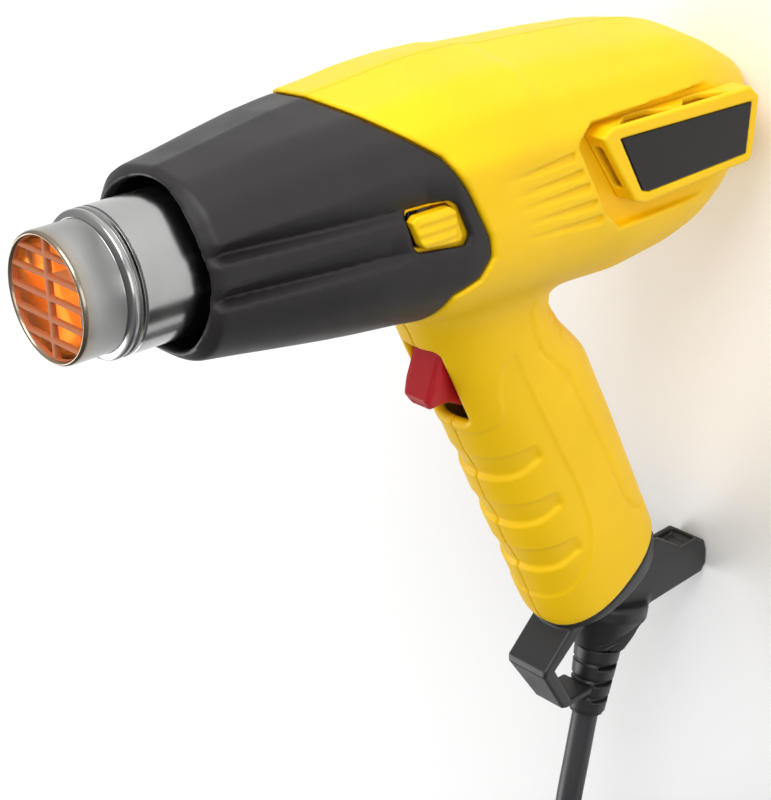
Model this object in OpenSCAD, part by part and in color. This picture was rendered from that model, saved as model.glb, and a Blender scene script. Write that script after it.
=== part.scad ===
// Hot air gun standing on its rear face and on the strut of its end cap, nozzle up.
// +Z runs along the barrel to the outlet, +X points to the handle, +Y is the gun's left side.

/* [Barrel] */
// Height of the hot air outlet above the surface that the gun stands on
outlet_h = 250; // [240:1:258]
// Outer diameter of the outlet, which accessory nozzles push over
outlet_d = 35; // [34:0.5:36]
// Outer diameter of the heater tube behind the bead
tube_d = 39.4; // [38.5:0.1:40]
// Height of the barrel's top line above its axis at the thickest place
barrel_r = 37.7; // [36.5:0.1:39]
// Wall of the moulded shells
wall = 2.5; // [2:0.1:3]

/* [Handle] */
// Angle between the handle and a square to the barrel
handle_rake = 25; // [22:0.5:28]
// Front to back size of the handle
handle_depth = 52; // [48:1:54]
// Width of the handle
handle_w = 39; // [36:1:42]
// Length of the handle from the barrel's axis to the end cap
handle_len = 169; // [166:1:172]

/* [Moving parts] */
// Travel of a guard release button
button_travel = 2.5; // [1.5:0.1:2.6]
// Radial clearance of a shaft in its bush
shaft_gap = 0.05; // [0.02:0.01:0.1]
// Number of fan blades
blade_count = 9; // [7:1:11]

/* [Cord] */
// Diameter of the mains cord
cord_d = 9; // [8:0.1:9.2]
// Diameter of the cord's coil at the middle of its turns
coil_d = 90; // [90:1:96]

/* [Hidden] */
$fn = 64;
step = 0.02;
far = 200;
// Outline points of one barrel or handle section
section_k = 40;

// The row's X zero is half way between the barrel's top line and the strain relief's end
relief_end_x = 208;
axis_x = (barrel_r - relief_end_x) / 2;
hk = outlet_h / 250;

// Barrel sections: height, reach on the top side, reach on the handle side, half width
barrel_rows = [
    [0, 14, 14, 14], [2.5, 17, 17.5, 17], [10, 21.5, 24.5, 22.5], [21, 26.2, 31, 27.5],
    [31, 29.6, 35, 29.5], [39, 31.7, 36.5, 30.5], [47, 32.8, 38, 31], [68, 34.4, 40, 31.5],
    [91, 35.6, 38.6, 32], [98, 36, 38, 36.2], [107.5, 36.3, 37, 36.5], [109.5, 37.4, 36.8, 37.2],
    [124, 37.7, 36.5, 37.5], [138, 36.9, 35.6, 36.8], [153, 35.3, 33.6, 35.2],
    [167, 34.2, 32.2, 34], [178, 33, 30.9, 32.7], [192, 30.7, 29, 30.5],
    [205, 28.4, 27.2, 28.3], [214, 27, 26, 27], [220, 25.4, 24.6, 25.4]];
barrel_power = 2.6;
section_scale = barrel_r / 37.7;
neck_inset = 3.2;
neck_top = 168;
guard_inset = 0.8;
guard_wall = 2;

// The border between guard and housing, as reach on the handle side and height
border = [[-60, 166], [-33.7, 166], [-19, 146], [-9, 139.5], [6, 132], [11.7, 131],
    [17.5, 134], [21, 142], [32, 145], [60, 146], [60, 260], [-60, 260]];

// Handle sections: distance from the barrel's axis, reach to the front, to the back, half width
handle_z0 = 123.1 * hk;
handle_rows = [
    [18, 25, 17, 18.5], [42, 25.5, 18, 19], [58, 25.5, 18.6, 19.2], [68, 25.4, 20.5, 19.3],
    [82, 25.6, 25.6, 19.4], [110, 26, 26, 19.5], [140, 26, 26, 19.5], [160, 26, 25.6, 19.2],
    [166, 25.7, 25.2, 18.9], [169, 24.7, 24.2, 18]];
handle_power = 2.25;
depth_scale = handle_depth / 52;
width_scale = handle_w / 39;
length_scale = handle_len / 169;

// Guard release buttons, at mid height of their window
button_z = 150;
button_l = 21;
button_w = 10;

// Side frames that carry the badges
frame_y = 38;
frame_t = 3.2;
frame_outline = [[-15, 86], [-14.6, 26], [-11, 22], [7, 24], [8.6, 25.5], [10.5, 72], [9, 76],
    [-12.7, 90]];
badge_outline = [[-11.3, 83], [-10, 25.4], [5.8, 27.2], [7.2, 70.5], [6.2, 73.5]];

// Heater, fan and motor heights
bead_z = outlet_h - 14;
tube_wall = 0.8;
tube_base_z = 150;
sleeve_z = [152, 234];
mica_z = [156, 240];
mica_r = 13.6;
mica_t = 0.8;
coil_turns = 11;
coil_wire_r = 1.5;
coil_pitch_r = 14.4;
duct_r = 28.6;
duct_wall = 1.4;
duct_z = [86, 134];
motor_r = 17.5;
motor_z = [50, 88];
motor_wall = 1;
shaft_r = 1.5;
shaft_z = [41, 107];
bush_r = 4;
bush_l = 5;
fan_r = 26.4;
fan_z = [93, 107];
board_z = 43;
board_t = 1.6;

// Trigger, in the handle's own frame: reach to the back and distance along the handle
pivot = [-18.5, 60];
pin_r = 1.25;
rocker_w = 13;
rocker_outline = [[-18, 46.4], [-21.6, 46], [-33, 57], [-32.4, 61], [-24.8, 64.8], [-20, 71],
    [-15.6, 66], [-15.6, 54]];

// Screw places: reach on the handle side and height
screws = [[24, 30], [-21, 30], [60, 82], [105, 85], [143, 70], [24, 140], [-24, 140]];
screw_r = 1.25;

// Strain relief and cord, which leave the end cap at cord_angle above level
relief_x = 175;
relief_z = 45.6;
relief_l = 34;
cord_angle = 13.6;
cord_r = cord_d / 2;

// Coil of cord on the surface, two turns wide and three high, with most of a turn on its inner side
turn_pitch = cord_d + 0.1;
tie_t = 0.8;
tie_w = 10;
coil_x = 336;
coil_y = 16;
coil_h = 3 * turn_pitch;
coil_in = coil_d / 2 - turn_pitch;
coil_out = coil_d / 2 + turn_pitch;

// Cord route from the strain relief to the coil, as X from the barrel's axis, Y and height
cord_route = [[208, 0, 53.6], [217, 0, 55.8], [227, 0, 58.2], [236, 0, 60.5], [245.5, -0.5, 62],
    [255, -2, 62], [264.5, -4.5, 60.5], [273, -8, 57], [280.5, -12, 52.5], [287.5, -16, 47],
    [294.5, -20.5, 41.5], [301.5, -24.5, 36], [309, -28, 31], [317, -31, 27], [326.5, -33, 24.5],
    [336, -33.6, 23.5]];
// Cord route from the coil to the plug, which lies on the coil
tail_route = [[295.5, 16, 32.6], [296.9, 5.5, 33.1], [301, -4.2, 34.6], [307.4, -12.6, 37.2],
    [315.8, -19, 39.5], [324.9, -22.9, 40.7], [333.2, -24.4, 41]];
plug_at = [333.2, -24.4, 41];
plug_turn = -94;

// ---- helpers ----
module placed(c) { color(c) translate([axis_x, 0, 0]) children(); }

function bent(v, power) = sign(v) * pow(abs(v), 2 / power);
// Closed outline of one section: low_x and high_x reach along X, half_w across
function section(low_x, high_x, half_w, power) = [for (i = [0 : section_k - 1])
    let (c = cos(360 * i / section_k), s = sin(360 * i / section_k))
    [(c < 0 ? low_x : high_x) * bent(c, power), half_w * bent(s, power)]];

module slab(z, outline) {
    translate([0, 0, z]) linear_extrude(step) polygon(outline);
}

// Solid through all the barrel's sections, each drawn in by inset
module barrel(inset, first = 0, last = 20) {
    for (i = [first : last - 1]) hull() {
        barrel_slab(barrel_rows[i], inset);
        barrel_slab(barrel_rows[i + 1], inset);
    }
}

module barrel_slab(row, inset) {
    k = section_scale;
    slab(row[0] * hk, section(row[1] * k - inset, row[2] * k - inset, row[3] * k - inset, barrel_power));
}

module in_handle() {
    translate([0, 0, handle_z0]) rotate([0, 90 + handle_rake, 0]) children();
}

// Solid through the handle's sections, each drawn in by inset
module handle(inset) {
    in_handle() for (i = [0 : len(handle_rows) - 2]) hull() {
        handle_slab(handle_rows[i], inset);
        handle_slab(handle_rows[i + 1], inset);
    }
}

module handle_slab(row, inset) {
    slab(row[0] * length_scale, section(row[1] * depth_scale - inset, row[2] * depth_scale - inset,
        row[3] * width_scale - inset, handle_power));
}

// A block through the whole width above the border, grown by gap
module guard_zone(gap = 0) {
    translate([0, 0, -gap]) rotate([90, 0, 0])
        linear_extrude(2 * far, center = true) polygon(border);
}

module half_space(side) {
    translate([-far, side > 0 ? 0 : -2 * far, -far]) cube([3 * far, 2 * far, 3 * far]);
}

module each_screw() {
    for (p = screws) translate([p[0], 0, p[1] * hk]) rotate([90, 0, 0]) children();
}

// Tube polyhedron swept along a list of points, with k sides; side is never along the route
function along(p, i) = let (a = p[max(i - 1, 0)], b = p[min(i + 1, len(p) - 1)]) (b - a) / norm(b - a);
function across(t, side) = let (n = cross(t, side)) n / norm(n);
module sweep(route, r, k, side = [0, 0, 1]) {
    ring = [for (i = [0 : len(route) - 1])
        let (t = along(route, i), n = across(t, side), b = cross(t, n))
        for (j = [0 : k - 1]) route[i] + r * (cos(360 * j / k) * n + sin(360 * j / k) * b)];
    last = len(route) - 1;
    sides = [for (i = [0 : last - 1]) for (j = [0 : k - 1])
        [i * k + j, (i + 1) * k + j, (i + 1) * k + (j + 1) % k, i * k + (j + 1) % k]];
    ends = [[for (j = [0 : k - 1]) j], [for (j = [k - 1 : -1 : 0]) last * k + j]];
    polyhedron(ring, concat(sides, ends), convexity = 6);
}

// Points between the route's own, on a smooth curve through them
function eased(p, n) = concat([for (i = [0 : len(p) - 2]) for (m = [0 : n - 1])
    let (u = m / n, a = p[max(i - 1, 0)], b = p[i], c = p[i + 1], d = p[min(i + 2, len(p) - 1)])
    0.5 * (2 * b + (c - a) * u + (2 * a - 5 * b + 4 * c - d) * u * u
        + (3 * b - a - 3 * c + d) * u * u * u)], [p[len(p) - 1]]);

// ---- housing ----
module housing_outer() {
    difference() {
        barrel(0);
        guard_zone();
    }
    intersection() {
        barrel(neck_inset, 9, 15);
        translate([-far, -far, 0]) cube([2 * far, 2 * far, neck_top * hk]);
    }
    difference() {
        handle(0);
        guard_zone();
    }
}

module housing_cavity() {
    difference() {
        barrel(neck_inset + wall);
        translate([-far, -far, -1]) cube([2 * far, 2 * far, wall + 1]);
    }
    difference() {
        barrel(wall, 0, 14);
        translate([-far, -far, -1]) cube([2 * far, 2 * far, wall + 1]);
        translate([0, 0, -wall - 2]) guard_zone();
    }
    handle(wall);
    in_handle() for (past = [0 : 3]) translate([0, 0, past * step / 2])
        handle_slab(handle_rows[len(handle_rows) - 1], wall);
}

module housing_half(side) {
    placed("gold") intersection() {
        half_space(side);
        difference() {
            union() {
                difference() {
                    housing_outer();
                    housing_cavity();
                }
                intersection() {
                    each_screw() cylinder(r = 4, h = 2 * far, center = true, $fn = 24);
                    housing_outer();
                }
            }
            trigger_window();
            for (s = [-1, 1]) button_window(s, 0.5);
            side_intakes();
            translate([0, 0, -1]) cylinder(r = 12.6, h = wall + 3);
            // Screws enter from the right side, with heads sunk in wells
            each_screw() translate([0, 0, -18]) cylinder(r = screw_r + 0.1, h = far, $fn = 24);
            each_screw() translate([0, 0, 14]) cylinder(r = 3.2, h = far, $fn = 24);
        }
    }
}
module housing_left() { housing_half(1); }
module housing_right() { housing_half(-1); }

module trigger_window() {
    in_handle() translate([-32, -rocker_w / 2 - 0.5, 43]) cube([20, rocker_w + 1, 34]);
}

module button_window(side, gap) {
    translate([0, side * 34, button_z * hk])
        cube([button_w + 2 * gap, 14, button_l + 2 * gap], center = true);
}

// Air slots under the side frames
module side_intakes() {
    for (z = [30 : 9 : 66]) translate([-1, 0, z * hk]) cube([15, 2 * far, 4], center = true);
}

// ---- guard ----
module guard() {
    placed("dimgray") difference() {
        intersection() {
            barrel(guard_inset, 9);
            guard_zone(-0.4);
        }
        barrel(guard_inset + guard_wall, 8, 19);
        translate([0, 0, 212 * hk]) cylinder(r = 23, h = 20);
        for (s = [-1, 1]) button_window(s, 0.9);
    }
}

module release_button(side) {
    placed("gold") translate([0, side * 33.8, button_z * hk])
        cube([button_w, 4.6, button_l], center = true);
}
module release_button_left() { release_button(1); }
module release_button_right() { release_button(-1); }

// ---- side frames, badges and rear grille ----
module side_frame(side) {
    placed("gold") {
        difference() {
            rotate([90, 0, 0]) translate([0, 0, side > 0 ? -frame_y : frame_y - frame_t])
                linear_extrude(frame_t) difference() {
                    polygon(frame_outline);
                    translate([-13, 34]) square([2.2, 14]);
                    translate([-13, 58]) square([2.2, 14]);
                }
            rotate([90, 0, 0]) translate([0, 0, side > 0 ? -frame_y - 1 : frame_y - 1.2])
                linear_extrude(2.2) polygon(badge_outline);
        }
        // Posts that snap into the housing's side
        for (p = [[-9, 80], [5, 68], [-9, 34], [3, 34]])
            translate([p[0], side * (frame_y - frame_t - 2), p[1]])
                rotate([90, 0, 0]) cylinder(r = 2, h = 5, center = true, $fn = 24);
    }
}
module side_frame_left() { side_frame(1); }
module side_frame_right() { side_frame(-1); }

module badge(side) {
    placed("black") rotate([90, 0, 0]) translate([0, 0, side > 0 ? -frame_y - 0.2 : frame_y - 1])
        linear_extrude(1.2) polygon(badge_outline);
}
module badge_left() { badge(1); }
module badge_right() { badge(-1); }

module rear_grille() {
    placed("dimgray") translate([0, 0, 0.6]) difference() {
        cylinder(r = 12.4, h = 1.9);
        for (x = [-8 : 4 : 8]) translate([x, 0, 0])
            cube([2, 2 * sqrt(100 - x * x), 9], center = true);
    }
}

// ---- heater ----
module nozzle_tube() {
    placed("silver") rotate_extrude() polygon([
        [27, tube_base_z * hk], [27, tube_base_z * hk + tube_wall],
        [tube_d / 2, tube_base_z * hk + tube_wall], [tube_d / 2, bead_z - 1.6],
        [tube_d / 2 - 0.4, bead_z - 0.8], [tube_d / 2 - 0.4, bead_z + 0.6],
        [outlet_d / 2, bead_z + 1.2], [outlet_d / 2, outlet_h - 0.6],
        [outlet_d / 2 - 0.6, outlet_h], [14.9, outlet_h], [14.5, outlet_h - 0.6],
        [14.5, outlet_h - 2.4], [outlet_d / 2 - tube_wall, outlet_h - 3],
        [outlet_d / 2 - tube_wall, bead_z], [tube_d / 2 - tube_wall, bead_z - 2],
        [tube_d / 2 - tube_wall, tube_base_z * hk]]);
}

module nozzle_grille() {
    placed("peru") translate([0, 0, outlet_h - 6]) {
        difference() {
            cylinder(r = 16.4, h = 2.4);
            translate([0, 0, -1]) cylinder(r = 15.2, h = 5);
        }
        translate([-15.6, -0.8, 0.4]) cube([31.2, 1.6, 1.2]);
        for (x = [-9.6 : 4.8 : 9.6]) translate([x, 0, 1.2])
            cube([1.4, 2 * sqrt(246 - x * x), 1.2], center = true);
    }
}

module mica_sleeve() {
    placed("khaki") translate([0, 0, sleeve_z[0]]) difference() {
        cylinder(r = 18.5, h = sleeve_z[1] - sleeve_z[0]);
        translate([0, 0, -1]) cylinder(r = 18, h = far);
    }
}

module mica_former() {
    placed("khaki") for (a = [0, 90]) rotate(a)
        translate([-mica_r, -mica_t / 2, mica_z[0]]) cube([2 * mica_r, mica_t, mica_z[1] - mica_z[0]]);
}

module heating_coil() {
    turn_steps = 16;
    helix = [for (i = [0 : coil_turns * turn_steps]) let (a = 360 * i / turn_steps)
        [coil_pitch_r * cos(a), coil_pitch_r * sin(a), 164 + 66 * i / (coil_turns * turn_steps)]];
    placed("orangered") sweep(helix, coil_wire_r, 8);
}

module thermal_cutoff() {
    placed("white") translate([6, 6, 158]) cylinder(r = 2, h = 12);
}

module insulating_ring() {
    placed("khaki") translate([0, 0, 145.8 * hk]) difference() {
        cylinder(r = 27.4, h = 4.2 * hk);
        translate([0, 0, -1]) cylinder(r = 18.6, h = 9);
    }
}

// ---- fan and motor ----
module fan_duct() {
    placed("slategray") {
        difference() {
            translate([0, 0, duct_z[0]]) cylinder(r = duct_r, h = duct_z[1] - duct_z[0]);
            translate([0, 0, duct_z[0] - 1]) cylinder(r = duct_r - duct_wall, h = far);
        }
        difference() {
            translate([0, 0, 60]) cylinder(r = motor_r + 1.8, h = 29);
            translate([0, 0, 59]) cylinder(r = motor_r, h = 40);
        }
        for (a = [45 : 90 : 315]) rotate(a) translate([motor_r + 1, -1.5, duct_z[0]])
            cube([duct_r - motor_r - 1.6, 3, 3]);
    }
}

module motor_can() {
    placed("silver") difference() {
        translate([0, 0, motor_z[0]]) cylinder(r = motor_r, h = motor_z[1] - motor_z[0]);
        translate([0, 0, motor_z[0] + motor_wall])
            cylinder(r = motor_r - motor_wall, h = motor_z[1] - motor_z[0] - 2 * motor_wall);
        translate([0, 0, motor_z[0] - 1]) cylinder(r = bush_r, h = far);
    }
}

module motor_bushes() {
    placed("goldenrod") for (z = [motor_z[0] - 2, motor_z[1] - bush_l + 2]) translate([0, 0, z])
        difference() {
            cylinder(r = bush_r, h = bush_l);
            translate([0, 0, -1]) cylinder(r = shaft_r + shaft_gap, h = bush_l + 2);
        }
}

module motor_magnets() {
    placed("dimgray") for (a = [0, 180]) rotate(a) translate([0, 0, motor_z[0] + 5])
        intersection() {
            difference() {
                cylinder(r = motor_r - motor_wall, h = 28);
                translate([0, 0, -1]) cylinder(r = 12.6, h = 30);
            }
            translate([0, -12, -1]) cube([20, 24, 30]);
        }
}

module motor_shaft() {
    placed("silver") translate([0, 0, shaft_z[0]]) cylinder(r = shaft_r, h = shaft_z[1] - shaft_z[0]);
}

module armature() {
    placed("chocolate") difference() {
        union() {
            translate([0, 0, motor_z[0] + 4]) cylinder(r = 4.6, h = 30);
            translate([0, 0, motor_z[0] + 9]) cylinder(r = 11.6, h = 21);
        }
        cylinder(r = shaft_r, h = far);
    }
}

module fan_impeller() {
    placed("ivory") difference() {
        union() {
            translate([0, 0, fan_z[0]]) cylinder(r = 7, h = fan_z[1] - fan_z[0]);
            intersection() {
                translate([0, 0, fan_z[0]]) cylinder(r = fan_r, h = fan_z[1] - fan_z[0]);
                for (i = [0 : blade_count - 1]) rotate(360 * i / blade_count)
                    translate([16, 0, (fan_z[0] + fan_z[1]) / 2]) rotate([38, 0, 0])
                        cube([22, 1.4, 17], center = true);
            }
        }
        cylinder(r = shaft_r, h = far);
    }
}

module rectifier_board() {
    placed("seagreen") {
        translate([0, 0, board_z]) difference() {
            cylinder(r = 15, h = board_t);
            translate([0, 0, -1]) cylinder(r = 5, h = 4);
        }
        // Four diodes, and two terminals that hold the board to the motor
        for (a = [20 : 90 : 290]) rotate(a) translate([9, -1.4, board_z + board_t]) cube([5, 2.8, 2.8]);
        for (a = [65, 245]) rotate(a)
            translate([10, -2, board_z + board_t]) cube([1, 4, motor_z[0] - board_z - board_t]);
    }
}

// ---- switch, leads and clamp ----
module switch_body() {
    placed("darkslategray") in_handle() difference() {
        union() {
            translate([-13.6, -8, 49]) cube([20, 16, 23]);
            for (s = [-1, 1]) translate([-20.4, s * 7.6 - 0.6, 55]) cube([7, 1.2, 10]);
        }
        translate([pivot[0], 0, pivot[1]]) rotate([90, 0, 0])
            cylinder(r = pin_r, h = 40, center = true, $fn = 32);
    }
}

module trigger_pin() {
    placed("silver") in_handle() translate([pivot[0], 0, pivot[1]]) rotate([90, 0, 0])
        cylinder(r = pin_r, h = 16.4, center = true, $fn = 32);
}

module trigger_rocker() {
    placed("firebrick") in_handle() rotate([90, 0, 0])
        linear_extrude(rocker_w, center = true) difference() {
            polygon(rocker_outline);
            translate(pivot) circle(r = pin_r + 0.05, $fn = 32);
        }
}

module lead(points, r) { sweep(eased(points, 3), r, 6, [0, 1, 0]); }

module internal_leads() {
    placed("brown") in_handle() {
        for (y = [-3, 3]) {
            lead([[9, y, 146], [11, y, 120], [9, y, 96], [2, y, 80], [-2, y, 72]], 1.3);
            lead([[6.5, y, 64], [11.5, y, 62], [12, y, 48], [11, y, 40]], 1.3);
        }
        // The cord's sheathed end, from the strain relief to the clamp
        translate([9, 0, 144]) cylinder(r = 3.9, h = 31, $fn = 32);
    }
}

module cord_clamp() {
    placed("dimgray") in_handle() translate([9, 0, 148]) difference() {
        cube([14, 22, 6], center = true);
        translate([0, 0, -4]) cylinder(r = 4, h = 8);
        for (y = [-8, 8]) translate([0, y, 0]) rotate([0, 90, 0])
            cylinder(r = 1.6, h = 40, center = true, $fn = 24);
    }
}

module clamp_screws() {
    placed("silver") in_handle() for (y = [-8, 8]) translate([9, y, 148]) rotate([0, 90, 0]) {
        translate([0, 0, -8]) cylinder(r = 1.5, h = 15, $fn = 24);
        translate([0, 0, -9.5]) cylinder(r = 2.7, h = 2, $fn = 24);
    }
}

module housing_screws() {
    placed("silver") each_screw() {
        translate([0, 0, -12]) cylinder(r = screw_r, h = 26, $fn = 24);
        translate([0, 0, 14]) cylinder(r = 2.8, h = 2, $fn = 24);
    }
}

// ---- end cap, strain relief and cord ----
module on_relief() {
    translate([relief_x, 0, relief_z]) rotate([0, 90 - cord_angle, 0]) children();
}

module cap_slab(s, front, back, half_w) {
    in_handle() slab(s, section(front, back, half_w, handle_power));
}

module end_cap() {
    placed("dimgray") difference() {
        union() {
            hull() {
                cap_slab(169.2, 24.6, 24.1, 17.9);
                cap_slab(174, 23.6, 24, 17.4);
            }
            hull() {
                cap_slab(174, 23.6, 24, 17.4);
                on_relief() translate([0, 0, 0]) cylinder(r = 11, h = 4, $fn = 32);
            }
            hull() {
                on_relief() cylinder(r = 11, h = 4, $fn = 32);
                on_relief() cylinder(r = 9, h = 9, $fn = 32);
            }
            strut();
            hook();
        }
        on_relief() translate([0, 0, -22]) cylinder(r = 5.2, h = 60);
        in_handle() translate([9, 0, 160]) cylinder(r = 4.6, h = 17);
        strut_trough();
    }
}

strut_outline = [[146, 34], [149, 25], [157, 13], [156.4, 4.5], [158.6, 1], [162.5, 0], [168, 0],
    [171, 2.5], [173.3, 33], [176, 46], [160, 50]];
strut_w = 14.6;
hook_outline = [[165, 70], [176.6, 82.6], [179.2, 82.8], [196.6, 72], [197.4, 69.4], [196.8, 57.4],
    [194.2, 57.4], [194.4, 67.6], [178, 77.8], [169.5, 67], [166, 62]];
hook_w = 17.6;

module strut() {
    rotate([90, 0, 0]) linear_extrude(strut_w, center = true) polygon(strut_outline);
}

module hook() {
    rotate([90, 0, 0]) linear_extrude(hook_w, center = true) polygon(hook_outline);
}

module strut_trough() {
    translate([151.5, 0, 14]) rotate([0, -6, 0]) cube([6, strut_w - 3, 30], center = true);
}

module strain_relief() {
    placed("dimgray") on_relief() difference() {
        rotate_extrude() polygon([[0, -20], [5.1, -20], [5.1, 9.1], [7.8, 9.1], [7.8, 14], [6.9, 15],
            [6.9, 20], [6.3, 21], [6.3, 26], [5.7, 27], [5.4, relief_l], [0, relief_l]]);
        for (w = [16.2, 22.2]) for (s = [-1, 1])
            translate([0, s * 6.6, w + 1.4]) cube([9, 4, 2], center = true);
    }
}

module cord() { placed("dimgray") sweep(eased(cord_route, 2), cord_r, 12); }

module turns(from, to, h) {
    polygon([[from + 2, 0], [to - 2, 0], [to, 2], [to, h - 2], [to - 2, h], [from + 2, h],
        [from, h - 2], [from, 2]]);
}

module cord_coil() {
    placed("dimgray") translate([coil_x, coil_y, tie_t]) {
        rotate_extrude() turns(coil_in, coil_out, coil_h);
        rotate([0, 0, -42]) rotate_extrude(angle = 222)
            turns(coil_in, coil_d / 2, coil_h + turn_pitch);
    }
}

module cord_tail() { placed("dimgray") sweep(eased(tail_route, 2), cord_r, 12); }

module cord_tie() {
    tall = coil_h + turn_pitch;
    placed("black") translate([coil_x, coil_y, 0]) rotate([0, 0, 45])
        translate([coil_d / 2, 0, tall / 2 + tie_t]) difference() {
            cube([2 * turn_pitch + 2 * tie_t, tie_w, tall + 2 * tie_t], center = true);
            cube([2 * turn_pitch, tie_w + 2, tall], center = true);
        }
}

module on_plug() { placed("dimgray") translate(plug_at) rotate([0, 0, plug_turn]) children(); }

module plug_body() {
    on_plug() difference() {
        union() {
            rotate([-90, 0, 0]) cylinder(r1 = 5.4, r2 = 7, h = 14, $fn = 32);
            translate([-12, 12, -9]) cube([24, 20, 18]);
        }
        for (x = [-6.35, 6.35]) translate([x - 0.75, 24, -3.2]) cube([1.5, 20, 6.4]);
    }
}

module plug_blades() {
    color("silver") on_plug() for (x = [-6.35, 6.35])
        translate([x - 0.75, 24, -3.2]) cube([1.5, 25.5, 6.4]);
}

housing_left();
housing_right();
guard();
release_button_left();
release_button_right();
side_frame_left();
side_frame_right();
badge_left();
badge_right();
rear_grille();
nozzle_tube();
nozzle_grille();
mica_sleeve();
mica_former();
heating_coil();
thermal_cutoff();
insulating_ring();
fan_duct();
motor_can();
motor_bushes();
motor_magnets();
motor_shaft();
armature();
fan_impeller();
rectifier_board();
switch_body();
trigger_pin();
trigger_rocker();
internal_leads();
cord_clamp();
clamp_screws();
housing_screws();
end_cap();
strain_relief();
cord();
cord_coil();
cord_tail();
cord_tie();
plug_body();
plug_blades();
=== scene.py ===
import math

import bpy
import numpy as np
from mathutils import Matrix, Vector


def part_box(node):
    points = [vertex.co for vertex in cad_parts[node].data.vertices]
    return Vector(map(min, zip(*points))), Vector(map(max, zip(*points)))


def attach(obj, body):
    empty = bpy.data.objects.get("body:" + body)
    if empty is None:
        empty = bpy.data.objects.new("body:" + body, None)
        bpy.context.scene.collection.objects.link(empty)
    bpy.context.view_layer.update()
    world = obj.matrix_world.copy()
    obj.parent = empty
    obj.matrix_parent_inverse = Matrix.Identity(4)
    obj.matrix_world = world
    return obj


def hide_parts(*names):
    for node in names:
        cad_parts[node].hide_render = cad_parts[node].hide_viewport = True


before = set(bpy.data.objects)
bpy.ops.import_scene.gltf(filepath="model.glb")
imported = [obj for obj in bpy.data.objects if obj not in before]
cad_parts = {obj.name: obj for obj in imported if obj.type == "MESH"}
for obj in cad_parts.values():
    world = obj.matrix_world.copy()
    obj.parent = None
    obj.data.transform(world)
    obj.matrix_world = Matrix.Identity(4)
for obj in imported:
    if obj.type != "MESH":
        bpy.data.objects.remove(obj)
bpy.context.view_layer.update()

import openvdb
from mathutils import Matrix, Vector

# A hot air gun that stands nozzle up. Shapes are worked out in millimetres in the gun's own axes:
# x from the barrel's axis towards the handle, y to the gun's left, z up to the outlet.
MM = 0.001
AXIS_X = (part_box("nozzle_tube")[0].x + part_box("nozzle_tube")[1].x) / 2
OUTLET_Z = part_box("nozzle_tube")[1].z / MM
WALL = 2.5
# How far the neck that the guard fits over lies inside the barrel's surface
NECK_INSET = 3.6


def place(points):
    """Points in the gun's axes and millimetres, as metres in the frame."""
    out = np.asarray(points, float) * MM
    out[..., 0] += AXIS_X
    return out


# ---- camera, floor and light ----
def make_camera():
    data = bpy.data.cameras.new("camera")
    camera = bpy.data.objects.new("camera", data)
    bpy.context.scene.collection.objects.link(camera)
    ahead = Vector((0.41141, -0.68955, -0.59604))
    right = Vector((0.03007, 0.66387, -0.74725))
    up = right.cross(ahead)
    turn = Matrix((right, up, -ahead)).transposed()
    camera.matrix_world = Matrix.Translation((-0.26545, 0.40685, 0.492)) @ turn.to_4x4()
    data.sensor_width = 36
    data.lens = 91.3
    data.clip_start = 0.01
    bpy.context.scene.camera = camera


def area_light(name, at, aim, size, power):
    data = bpy.data.lights.new(name, "AREA")
    data.shape = "RECTANGLE"
    data.size, data.size_y = size
    data.energy = power
    light = bpy.data.objects.new(name, data)
    light.location = at
    light.rotation_euler = (Vector(aim) - Vector(at)).to_track_quat("-Z", "Y").to_euler()
    bpy.context.scene.collection.objects.link(light)


def make_studio():
    bpy.ops.mesh.primitive_plane_add(size=12)
    floor = bpy.context.object
    floor.name = "floor"
    floor.location.z = -0.0002
    floor.data.materials.append(plain("floor_paper", (0.93, 0.93, 0.93), 0.9))
    make_flag()
    make_world()
    area_light("top_side", (-1.0, 0.25, 0.9), (-0.03, 0, 0.12), (0.9, 0.7), 10.5)
    area_light("front_side", (-0.3, 1.2, 0.75), (0.02, 0, 0.1), (0.7, 0.9), 3.5)
    area_light("rear_rim", (0.5, -0.9, 0.8), (0, 0, 0.12), (0.7, 0.7), 7)
    bpy.context.scene.view_settings.view_transform = "Standard"


def make_flag():
    """A dark card that only reflections show, for the dark band along the steel's lower side."""
    flag = bpy.data.objects.new("flag", bpy.data.meshes.new("flag"))
    near, far, height = (0.205, 0.15), (0.09, 0.235), 0.13
    corners = [(*near, 0.0), (*far, 0.0), (*far, height), (*near, height)]
    flag.data.from_pydata(corners, [], [(0, 1, 2, 3)])
    flag.data.materials.append(plain("flag_cloth", (0.01, 0.01, 0.01), 1.0))
    bpy.context.scene.collection.objects.link(flag)
    for unseen in ("camera", "diffuse", "shadow", "transmission"):
        setattr(flag, "visible_" + unseen, False)


def make_world():
    """A soft box over the gun's top side, which falls off to a dark side under its handle."""
    world = bpy.data.worlds.new("studio")
    bpy.context.scene.world = world
    world.use_nodes = True
    tree = world.node_tree
    background = tree.nodes["Background"]
    background.inputs["Strength"].default_value = 1.0
    coordinates, split = tree.nodes.new("ShaderNodeTexCoord"), tree.nodes.new("ShaderNodeSeparateXYZ")
    spread, fall = tree.nodes.new("ShaderNodeMapRange"), tree.nodes.new("ShaderNodeValToRGB")
    spread.inputs["From Min"].default_value = -1
    tree.links.new(coordinates.outputs["Generated"], split.inputs["Vector"])
    tree.links.new(split.outputs["X"], spread.inputs["Value"])
    tree.links.new(spread.outputs["Result"], fall.inputs["Fac"])
    tree.links.new(fall.outputs["Color"], background.inputs["Color"])
    fall.color_ramp.elements[0].color = (0.95, 0.95, 0.95, 1)
    fall.color_ramp.elements[1].color = (0.1, 0.1, 0.1, 1)
    fall.color_ramp.elements.new(0.5).color = (0.5, 0.5, 0.5, 1)


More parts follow.
